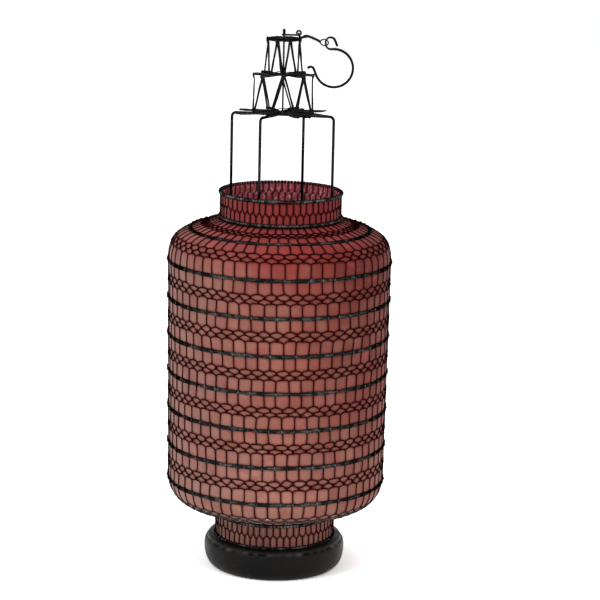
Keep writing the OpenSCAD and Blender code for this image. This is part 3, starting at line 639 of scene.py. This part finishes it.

# %% [markdown]
# The silk is deepest in colour at the top and fades to a dusty salmon pink towards the foot, and the foot is darkened
# again as a painted shadow of the body above it. Its left side is greyer, and its right side is darker and redder, a
# painted shade. It is darker beside the wires. Two wave textures on the piece's own UV map give the weave, and sheen
# gives the soft light of silk.

# %% Silk finish
def silk_finish():
    material, t, shader = new_material("red silk")
    place = t.add("TexCoord").outputs
    split = t.add("SeparateXYZ", {0: place["Object"]}).outputs
    height, side = t.remap(split["Z"], 0.04, 0.5), t.remap(split["X"], -0.14, 0.14)
    wobble = t.calc("MULTIPLY_ADD", t.noise(9, 3), 0.18, height)
    # the lowest stop darkens the foot and the bottom of the underside: a painted shadow of the body above
    colour = t.ramp(wobble, [(0.1, (0.18, 0.082, 0.065)), (0.185, (0.44, 0.205, 0.155)),
                                 (0.35, (0.45, 0.190, 0.145)), (0.55, (0.37, 0.128, 0.096)),
                                 (0.85, (0.345, 0.100, 0.075)), (0.94, (0.275, 0.029, 0.026)),
                                 (1, (0.27, 0.031, 0.033))])
    grey = t.both(t.ramp(side, [(0, 0.75), (0.4, 0.2), (0.55, 0)]),
                t.ramp(height, [(0.8, 1), (0.9, 0.3)]))
    # the right side is darker and redder: painted shade
    right_side_shade = t.both(t.ramp(side, [(0.55, 0), (0.92, 1)]),
                t.ramp(height, [(0.1, 0.4), (0.75, 0.95), (0.84, 0.95), (0.91, 0.3)]))
    # dark blotches, tan ones below the shoulder, and patches that kept their red
    blotch = t.ramp(t.noise(38, 5, rough=0.6), [(0.42, 0), (0.75, 0.4)])
    dusty = t.both(t.ramp(t.noise(24, 4, rough=0.6), [(0.5, 0), (0.72, 0.34)]),
                 t.ramp(height, [(0.78, 1), (0.88, 0)]))
    fresh = t.ramp(t.noise(70, 3, stretch=(1, 1, 1.6)), [(0.52, 0), (0.7, 0.42)])
    for amount, tint in ((grey, (0.31, 0.190, 0.158)), (right_side_shade, (0.125, 0.017, 0.014)), (blotch, (0.20, 0.036, 0.032)),
                         (dusty, (0.40, 0.215, 0.15)), (fresh, (0.34, 0.062, 0.060))):
        colour = t.mix(amount, colour, tint)
    colour = t.scaled(colour, t.remap(t.attribute("cell_tint"), -2.2, 2.2, 0.89, 1.13))
    near = t.remap(t.attribute("wire_distance"), 0.0002, 0.0034)
    # the silk is darker beside every wire
    beside_wire_darkening = t.ramp(near, [(0, 0.97), (0.22, 0.72), (0.5, 0.22), (1, 0)])
    colour = t.mix(beside_wire_darkening, colour, (0.060, 0.006, 0.0045))
    specks = t.ramp(t.noise(520, 2), [(0.68, 0), (0.78, 0.4)])
    colour = t.mix(specks, colour, (0.38, 0.24, 0.2))
    # the inner face, where the normal points to the axis, is a fresher crimson with pale spots of paste, and a painted
    # shadow of the net outlines its cells
    outward = t.add("CombineXYZ", {0: split["X"], 1: split["Y"]}).outputs[0]
    inside = t.calc("LESS_THAN", t.vector_calc("DOT_PRODUCT", outward, place["Normal"]), 0.0)
    paste = t.ramp(t.noise(210, 4, rough=0.7), [(0.46, (0.36, 0.055, 0.075)), (0.58, (0.50, 0.15, 0.17)),
                                                       (0.68, (0.75, 0.45, 0.46))])
    # painted shadow of the net on the inner face, darkest beside each wire
    sharp = t.ramp(near, [(0, 1), (0.25, 0.95), (0.42, 0.15), (0.7, 0)])
    colour = t.mix(inside, colour, t.mix(sharp, paste, (0.06, 0.006, 0.009)))
    t.feed(shader, {"Base Color": colour, "Roughness": 0.6, "Specular IOR Level": 0.1, "Sheen Weight": 0.04,
                        "Sheen Roughness": 0.4})
    weave = {"Vector": t.add("UVMap", uv_map="UVMap").outputs[0], "Scale": 300, "Distortion": 1.5,
             "Detail": 1}
    threads = [t.add("TexWave", weave, bands_direction=way).outputs["Fac"] for way in ("X", "Y")]
    t.bump(shader, t.calc("MAXIMUM", *threads), 0.25, 0.0001)
    return material


silk = silk_finish()
print("silk finish:", len(silk.node_tree.nodes), "nodes")

# %% [markdown]
# Each strip of cloth rests on the net's strands, which hold it stretched. Its flat size is the way round at its widest
# place by its length along the outline.

# %% The five sheets of silk
silk_sheet("silk_neck", neck, bands["neck"], 14, ["neck_silk"])
silk_sheet("silk_shoulder", shoulder, bands["shoulder"], 44, ["shoulder_silk"])
silk_sheet("silk_wall", wall, bands["wall_high"] + bands["wall_low"], 126, ["body_silk"])
silk_sheet("silk_underside", under, bands["underside"], 38, ["underside_silk"])
silk_sheet("silk_foot", foot, bands["foot"], 13, ["foot_silk"])

# %% [markdown]
# The base is painted black. The paint is worn to the wood in patches, dust lies in it, and the turned top edge is
# worn pale and carries a painted highlight, which an attribute marks.

# %% Wood finish
def wood_finish():
    material, t, shader = new_material("black painted wood")
    colour = t.ramp(t.noise(14, 5, rough=0.6),
                  [(0.35, (0.0045, 0.0045, 0.0045)), (0.7, (0.010, 0.0085, 0.0075))])
    wear = t.ramp(t.noise(45, 8, stretch=(1, 1, 2.5), rough=0.7), [(0.6, 0), (0.72, 0.55)])
    colour = t.mix(wear, colour, (0.034, 0.022, 0.017))
    dust = t.ramp(t.noise(90, 6, stretch=(1, 1, 0.4), rough=0.65), [(0.55, 0), (0.8, 0.35)])
    colour = t.mix(dust, colour, (0.024, 0.0235, 0.023))
    # the pale line along the collar edge is worn paint and a painted highlight
    colour = t.mix(t.attribute("edge_wear_and_highlight"), colour, (0.20, 0.18, 0.165))
    t.feed(shader, {"Base Color": colour, "Specular IOR Level": 0.07,
                        "Roughness": t.ramp(t.noise(60, 5), [(0.3, 0.34), (0.75, 0.55)])})
    t.bump(shader, t.noise(130, 6, stretch=(1, 1, 3)), 0.3, 0.0006)
    return material


painted_wood = wood_finish()
print("wood finish:", len(painted_wood.node_tree.nodes), "nodes")

# %% [markdown]
# The base is turned from one block of wood. A turned form is a profile spun round an axis, so its points are computed
# with many more steps than the solid needs. Slow waves keep it from being a perfect circle, as old wood shrinks. The
# holes for the legs and the spike can't be seen, so here the wood simply meets the wires.

# %% Turned base
base_r, base_foot_r, collar_r, boss_r = 91.2, 78.6, 86.4, 75.4
wide_z, collar_z, base_top_z, boss_top_z = 25, 36, 40, 48
base_steps, base_uneven = 288, 0.22      # lengths are in mm


def base_outline():
    """Points (radius, height) from the middle of the underside to the middle of the top."""
    line = [(0, 0), (base_foot_r * 0.5, 0), (base_foot_r * 0.93, 0)]
    line += [(base_foot_r + (base_r - base_foot_r) * sin(a), wide_z * (1 - cos(a)))
             for a in np.linspace(0, pi / 2, 22)]
    turn_w, turn_h = base_r - collar_r - 2.5, collar_z - 1 - wide_z
    line += [(base_r - turn_w * (1 - cos(a)), wide_z + turn_h * sin(a))
             for a in np.linspace(pi / 18, pi / 2, 12)]
    # the small roundings of its edges, as steps in mm from each corner
    edges = [(collar_r, collar_z, ((1.2, -0.6), (0.2, 0.1), (0, 1.2))),
             (collar_r, base_top_z, ((-0.1, -1), (-0.4, -0.35), (-1.1, 0))),
             (boss_r, base_top_z, ((0.6, 0), (0, 0.5))), (boss_r, boss_top_z, ((0, -1), (-0.3, -0.3), (-1, 0)))]
    line += [(r + dr, z + dz) for r, z, steps in edges for dr, dz in steps]
    return line + [(boss_r * 0.6, boss_top_z), (0, boss_top_z)]


def turned_base():
    phases = np.random.default_rng(3).uniform(0, tau, 12)
    r, z = (np.array(side)[:, None] for side in zip(*base_outline()[1:-1]))
    a = circle(base_steps)
    wave = sum(np.sin((n + 2) * a + phases[n] + 0.04 * z) / (n + 2) for n in range(6))
    rr = r + base_uneven * wave * np.where(z < 0.5, 0.3, 1)
    # a broken pale line along the collar's edge: worn paint and a painted highlight
    sharp = np.where(r > collar_r - 0.5, np.exp(-((z - collar_z + 0.4) / 1.1) ** 2), 0)
    patch = 0.5 + 0.5 * np.sin(5 * a + phases[7]) * np.sin(11 * a + phases[8]) * np.sin(23 * a + phases[9])
    wear = np.append(0.9 * sharp * np.maximum(0.0, patch - 0.35), [0, 0]).astype(np.float32)
    points = np.stack([rr * np.cos(a), rr * np.sin(a), z + 0 * rr], -1).reshape(-1, 3) * MM
    _, _, first, beside = grid(len(r), base_steps)
    faces = np.stack([first, beside, beside + base_steps, first + base_steps], -1).reshape(-1, 4).tolist()
    # a fan of faces closes each end
    low, high = len(points), len(points) + 1
    faces += [(b, a, low) for a, b in zip(first[0].tolist(), beside[0].tolist())]
    faces += [(a + base_steps, b + base_steps, high) for a, b in zip(first[-1].tolist(), beside[-1].tolist())]
    mesh = bpy.data.meshes.new("turned_base")
    mesh.from_pydata(points.tolist() + [(0, 0, 0), (0, 0, boss_top_z * MM)], [], faces)
    mesh.attributes.new("edge_wear_and_highlight", "FLOAT", "POINT").data.foreach_set("value", wear)
    return piece_from("turned_base", mesh, "stand", painted_wood)


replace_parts(turned_base(), "wood_base")

# %% [markdown]
# Looked at closely, the crown's two lower plates are not sheet. Each leaf is a flattened bundle of wires that fans
# out from the middle, is pinched at its tip and bound across, with ragged ends. Their paths come from the leaf's
# outline with a little seeded unevenness, and the tree sweeps them all at once.

# %% Leaf bundles of the crown
crown_turn = radians(-22.5)
eighth, sixteenth = pi / 4, pi / 8
# all lengths of the crown are in mm
plate_t, lower_z, middle_z, top_z = 1.6, 596.6, 641.3, 686.0
# shares of a leaf's reach, and of its half width there
lower_leaf = [(0.12, 0.4), (0.3, 0.6), (0.5, 0.8), (0.76, 1.0), (0.9, 0.8), (1.0, 0.42)]
middle_leaf = [(0.1, 0.12), (0.35, 0.2), (0.55, 0.8), (0.76, 1.0), (0.9, 0.75), (1.0, 0.4)]


def around(x, y, z, turn):
    """A place on the crown in metres, turned round the axis."""
    return (x * cos(turn) - y * sin(turn)) * MM, (x * sin(turn) + y * cos(turn)) * MM, z * MM


def leaf_paths(shape, reach, half_w, z, turn, rng, count, ragged, thick):
    """Wires of one leaf, from the hub outwards, each a smooth path with an uneven end."""
    paths = []
    for k in range(count):
        side, layer = -1 + 2 * k / (count - 1), (k % 3 - 1) * thick
        tip = 1.0 + ragged * rng.uniform(-1.2, 0.6)
        points = []
        for share, width in shape:
            x = share * reach * (tip if share > 0.8 else 1)
            y = side * width * half_w + rng.normal(0, 0.3)
            points.append(around(x, y, z + layer + rng.normal(0, 0.25), turn))
        paths.append(smooth_path(points, steps=3))
    return paths


def binding_path(shape, reach, half_w, z, turn, rng, shares, high):
    """A flat coil of fine wire across a leaf."""
    points = []
    for share in shares:
        width = np.interp(share, *zip(*shape)) * half_w + 0.7
        for a in circle(8):
            x = reach * (share + a / tau * (shares[1] - shares[0])) + rng.normal(0, 0.15)
            y, up = width * cos(a), high * sin(a) + rng.normal(0, 0.15)
            points.append(around(x, y, z + up, turn))
    return smooth_path(points, steps=2)


def leaf_plate(name, replaced, shape, reach, half_w, z, first_turn, count, seed, ragged, shares, high, slight, thick):
    """Eight leaves. Those that point to the front and the back are shorter and slighter."""
    rng = np.random.default_rng(seed)
    bundle, binding = [], []
    for k in range(8):
        turn = first_turn + k * eighth
        ahead = abs(sin(turn)) > 0.9
        wide, short = half_w * rng.uniform(0.85, 1.1) * (slight if ahead else 1), 0.85 if ahead else 1
        bundle += leaf_paths(shape, reach * rng.uniform(0.96, 1.02) * short, wide, z, turn, rng, count, ragged, thick)
        binding.append(binding_path(shape, reach * short, wide, z, turn, rng, shares, high))
        # a stray wire crosses from each leaf to the next
        stray = [around(reach * share, y, z + up, turn + on)
                 for share, y, up, on in ((0.86, 2, 0.8, 0), (0.5, 3, 0.9, 0.3), (0.42, 0, 0.8, 0.75))]
        bundle.append(smooth_path(stray, steps=5))
    for k in range(3):      # windings of the hub
        winding = [around(6.5 + 2.2 * k + rng.normal(0, 0.3), 0, z + rng.normal(0, 0.3), a) for a in circle(16)]
        bundle.append(smooth_path(winding, closed=True, steps=2))
    made = wire_piece(name, bundle, 0.62, "stand", leaf_iron, sides=6)
    wire_piece(name + "_binding", binding, 0.42, "stand", leaf_iron, sides=5)
    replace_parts(made, replaced)


leaf_plate("lower_leaves", "lower_plate", lower_leaf, reach=60, half_w=4.6, z=lower_z - 2.7, first_turn=crown_turn,
           count=10, seed=11, ragged=0.1, shares=np.arange(0.46, 0.9, 0.05), high=1.15, slight=0.8, thick=0.5)
leaf_plate("middle_leaves", "middle_plate", middle_leaf, reach=38.6, half_w=3.7, z=middle_z + plate_t / 2, first_turn=0,
           count=8, seed=12, ragged=0.0, shares=np.arange(0.55, 0.95, 0.07), high=1.5, slight=0.4, thick=0.85)

# %% [markdown]
# The lower leaves are lashed to the bows with a long winding of wire that runs out along each leaf. It is a coil with
# slack turns, and some turns overlap. The struts are bent by hand, most of them from a pair of wires, and each bend
# hooks over the rim of the plate above it. Small knots tie them at the plates.

# %% Lashings, struts and their knots
def lashing(turn, low_z, rng, begin=11.0, end=38.0, turns=17):
    high, low = lower_z - 0.8, low_z - 0.55
    points = []
    for share, a in coil(turns):
        x = begin + (end - begin) * share + rng.normal(0, 0.4)
        y = (2.9 + rng.normal(0, 0.4)) * cos(a)
        z = (high + low) / 2 + (high - low) / 2 * sin(a) + rng.normal(0, 0.25)
        points.append(around(x, y, z, turn))
    return smooth_path(points, steps=3)


def knot(centre, turn, rng, size, turns, rise):
    points = []
    for share, a in coil(turns):
        x, y, _ = around(size * 0.9 * sin(a), size * cos(a), 0, turn)
        points.append((centre[0] + x + rng.normal(0, 0.12) * MM, centre[1] + y + rng.normal(0, 0.12) * MM,
                       centre[2] + rise * MM * (share - 0.5)))
    return smooth_path(points, steps=2)


def strut_path(turn, foot_r, foot_turn, apex_r, low_z, high_z, shift, rng):
    """From one foot over the rim of the plate above and down to the other foot."""
    inwards = abs(shift) * 0.6
    aside = Vector(around(-inwards, shift, 0, turn))
    bend = [Vector(around(apex_r + dx, dy, high_z + dz, turn)) + aside
            for dx, dy, dz in ((-0.6, -1.1, -4), (0.9, -0.9, 0), (0.8, 0, 2.6), (0.9, 0.9, 0), (-0.6, 1.1, -4))]
    first, last = (Vector(around(foot_r - inwards, shift, low_z, turn + side * foot_turn)) for side in (-1, 1))
    line = [first + (bend[0] - first) * t + Vector(rng.normal(0, 0.18 * MM, 3)) for t in (0, 0.3, 0.6)]
    back = [last + (bend[-1] - last) * t + Vector(rng.normal(0, 0.18 * MM, 3)) for t in (0.6, 0.3, 0)]
    return smooth_path(line + bend + back, steps=4)


rng = np.random.default_rng(21)
bow_tops = [591.2, 594.3]
lashings = [lashing(crown_turn + k * pi / 2, bow_tops[k % 2] - 1.5, rng) for k in range(4)]
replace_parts(wire_piece("lashing_windings", lashings, 0.6, sides=6), "bow_lashings")
# label, turn of the first, foot's radius and turn, bend's radius, heights of foot and bend
tiers = [("lower_strut_", 0.0, 40, radians(19.85), 37.5, lower_z - 2.4, middle_z - 0.8),
         ("upper_strut_", sixteenth, 24, radians(18.1), 22.0, middle_z + plate_t + 0.2, top_z - 0.8)]
for label, first_turn, foot_r, foot_turn, apex_r, low_z, high_z in tiers:
    for k in range(8):
        shifts = (-0.55, 0.65) if (k + len(label)) % 3 else (0.0,)
        pair = [strut_path(first_turn + k * eighth, foot_r, foot_turn, apex_r, low_z, high_z, shift, rng)
                for shift in shifts]
        made = wire_piece(f"{label}wire_{k + 1}", pair, 0.84 if len(pair) > 1 else 1.05, sides=7)
        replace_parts(made, f"{label}{k + 1}")
# radius in mm, height, turn of the place and of the knot itself, its size, turns and rise
ties = [(37.2, middle_z - 2.4, 0, 0, 1.2, 2.2, 1.8),
        (39.5, lower_z - 1.4, sixteenth, sixteenth, 1.1, 2.2, 0.8),
        (21.6, top_z - 2.4, sixteenth, sixteenth, 1.3, 3.2, 2.6),
        (23.8, middle_z + plate_t + 0.4, 0, sixteenth, 1.3, 2.2, 1.0)]
knots = [knot(around(r, 0, z, k * eighth + place), k * eighth + own, rng, size, turns, rise)
         for k in range(8) for r, z, place, own, size, turns, rise in ties]
wire_piece("strut_knots", knots, 0.42, sides=5)

# %% [markdown]
# The round top plate is bound with wire all round its rim, so that from the side it looks like a thick lens. The
# winding is one path that circles the rim while it loops round it.

# %% Bound rim of the top plate
rim_path = []
for share, a in coil(74)[:-1]:
    reach = 17.8 + 4.1 * cos(a) + rng.normal(0, 0.1)
    rim_path.append(around(reach, 0, top_z + plate_t / 2 + 1.45 * sin(a), tau * share))
wire_piece("top_plate_binding", [(rim_path, True)], 0.52, sides=6)

# %% [markdown]
# The hanger's arm is one wire, doubled through the eye of the swivel link. Beyond the top plate its two strands are
# twisted tightly, and they end in the ring that holds the hook. The twist is two helices round the arm's own line.
# Fine wire is wound round its heel and round the neck of its ring.

# %% Twisted arm
# stations of the arm's line: distance from the axis, height, half the gap between the strands, all in mm
arm_line = np.array([(18.5, 693.6, 1.55), (18.9, 691.2, 1.55), (20.6, 688.9, 1.5), (25, 689.5, 1.2), (27.5, 691.1, 0.8),
                     (31.5, 690.5, 0.72), (38, 688.0, 0.72), (42.1, 686.2, 0.72), (45.6, 684.2, 0.7)])
twist_begin, twist_turns = 0.42, 6.0
ring_r, ring_dip, ring_roll = 5.1, radians(7), radians(42)


def arm_path():
    """Back along one strand, through the link and out along the other."""
    steps = np.linspace(0, 1, 120)
    x, z, gap = (np.interp(steps, np.linspace(0, 1, len(arm_line)), arm_line[:, k]) for k in range(3))
    for _ in range(4):
        x[1:-1], z[1:-1] = (x[:-2] + 2 * x[1:-1] + x[2:]) / 4, (z[:-2] + 2 * z[1:-1] + z[2:]) / 4
    strands = []
    for side in (0, pi):
        angle = side + np.maximum(0.0, steps - twist_begin) * tau * twist_turns
        out = gap * np.sin(angle)
        path = np.stack([x - 0.45 * out, gap * np.cos(angle), z + 0.9 * out], -1)
        strands.append([Vector(p) * MM for p in path])
    eye = [Vector((18.1, 1.2 * cos(a), 693.75)) * MM for a in (0.5, 1.57, 2.64)]
    return strands[0][::-1] + eye + strands[1], False


def arm_coil(x, z, length, rise, wide, high, count, taper=0.0):
    """A winding of count steps along the arm, nine to a turn, given in mm."""
    return [Vector((x + length * t, wide * cos(a) * (1 - taper * t), z + rise * t + high * sin(a))) * MM
            for t, a in ((k / count, tau * k / 9) for k in range(count + 1))], False


wire_piece("arm_twist", [arm_path()], 1.3, "arm", sides=10)
ring_centre = Vector((55.8 - ring_r * cos(ring_dip), 0, 682.8 + ring_r * sin(ring_dip))) * MM
ring_turn = Matrix.Rotation(ring_dip, 3, "Y") @ Matrix.Rotation(ring_roll, 3, "X")
ring = [ring_centre + ring_turn @ Vector((ring_r * cos(a), ring_r * sin(a), 0)) * MM for a in circle(48)]
arm_ring = wire_piece("arm_ring", [(ring, True)], 0.8, "arm", sides=10)
wire_piece("arm_wraps", [arm_coil(43.2, 685.5, 2.6, -1.6, 1.35, 1.35, 32),
                         arm_coil(23.4, 689.6, 4.1, 1.2, 2.2, 1.5, 60, taper=0.3)], 0.45, "arm", sides=6)
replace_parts(arm_ring, "hanger_arm")

# %% [markdown]
# The bows, the link and the hook have the right shapes as solids. Their wire is a little heavier in the photograph,
# so a merged copy of each is grown outwards by a fraction of a millimetre along its normals.

# %% Heavier wire for the bows, the link and the hook
leg_r, bend_from, bend_over = 64.7 * MM, 350 * MM, 220 * MM
bight = Vector((52.4, 0, 683.5)) * MM      # where the hook hangs in the arm's ring
bight_r, bight_fade = 8.5, 4


def grown(name, cad_name, body, by, rise=None, link_at=None):
    shape = bmesh.new()
    shape.from_mesh(node[cad_name].data)
    bmesh.ops.remove_doubles(shape, verts=shape.verts, dist=1e-6)
    shape.normal_update()
    for vert in shape.verts:
        # where two wires hang in each other, the wire keeps its true thickness
        free = min(max(((vert.co - link_at).length / MM - bight_r) / bight_fade, 0), 1) if link_at else 1
        vert.co += vert.normal * by * free
        if rise:
            vert.co.z += rise(vert.co) * min(max((vert.co.z - bend_from) / bend_over, 0), 1)
    mesh = bpy.data.meshes.new(name)
    shape.to_mesh(mesh)
    shape.free()
    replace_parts(piece_from(name, mesh, body, iron), cad_name)


# the bows were bent by hand: one slopes a little to the left, and the other's far side hangs lower
grown("lower_bow_wire", "lower_bow", "stand", 0.42 * MM, lambda p: 1.8 * MM * p.x / leg_r)
grown("upper_bow_wire", "upper_bow", "stand", 0.42 * MM, lambda p: -4.2 * MM * max(p.y, 0) / leg_r)
grown("link_wire", "swivel_link", "link", 0.6 * MM)
grown("hook_wire", "hanging_hook", "hook", 0.45 * MM, link_at=bight)

# %% [markdown]
# The rod, the top plate, the drip pan and the spike are good as solids. They stay as they are and take a finish.

# %% Iron for the solids that stay
for name, cad in node.items():
    if cad.hide_render:
        continue
    cad.data.materials.clear()
    cad.data.materials.append(tin if name == "drip_pan" else iron)
    cad.data.polygons.foreach_set("use_smooth", [True] * len(cad.data.polygons))
    print("kept:", name)

# %% [markdown]
# A plain white room. The floor is a pale sheet whose colour the camera sees as white, which keeps the lantern's soft
# shadow. Two large soft lamps stand in front on both sides and one above, and the world fills the rest evenly.

# %% Floor, lamps and world
def seen(t):
    """1 for what the camera and the mirrors see, and 0 for what only gives light."""
    rays = t.add("LightPath").outputs
    glossy = t.calc("MAXIMUM", rays["Is Camera Ray"], rays["Is Glossy Ray"])
    return t.calc("MAXIMUM", glossy, rays["Is Transmission Ray"])


floor_mesh = bpy.data.meshes.new("floor")
floor_mesh.from_pydata([(-6, -6, 0), (6, -6, 0), (6, 6, 0), (-6, 6, 0)], [], [(0, 1, 2, 3)])
floor = shown("floor", floor_mesh)
floor_material, t, shader = new_material("pale floor")
t.tree.nodes.remove(shader)
matt = t.add("BsdfDiffuse", {"Color": t.mix(seen(t), (0.8, 0.8, 0.8), (2.3, 2.3, 2.3))})
t.feed(t.tree.nodes["Material Output"], {"Surface": matt.outputs[0]})
floor_mesh.materials.append(floor_material)

world = bpy.data.worlds.new("studio")
scene.world = world
world.use_nodes = True
t = Nodes(world.node_tree)
t.feed(t.tree.nodes["Background"], {"Color": (1, 1, 1), "Strength": t.remap(seen(t), 0, 1, 0.55, 1.0)})


def lamp(name, place, aim, size, power):
    data = bpy.data.lights.new(name, "AREA")
    data.shape = "RECTANGLE"
    data.size, data.size_y = size
    data.energy = power
    made = shown(name, data)
    made.location = place
    made.rotation_euler = (Vector(aim) - Vector(place)).to_track_quat("-Z", "Y").to_euler()


lamp("left lamp", (-1.9, -1.6, 1.5), (0, 0, 0.35), (1.0, 1.6), 25)
lamp("right lamp", (1.7, -1.9, 1.3), (0, 0, 0.35), (0.8, 1.4), 15)
lamp("top lamp", (0.2, -0.3, 2.4), (0, 0, 0.4), (1.4, 1.4), 11)
scene.view_settings.view_transform = "Standard"
print("lamps:", len(bpy.data.lights))
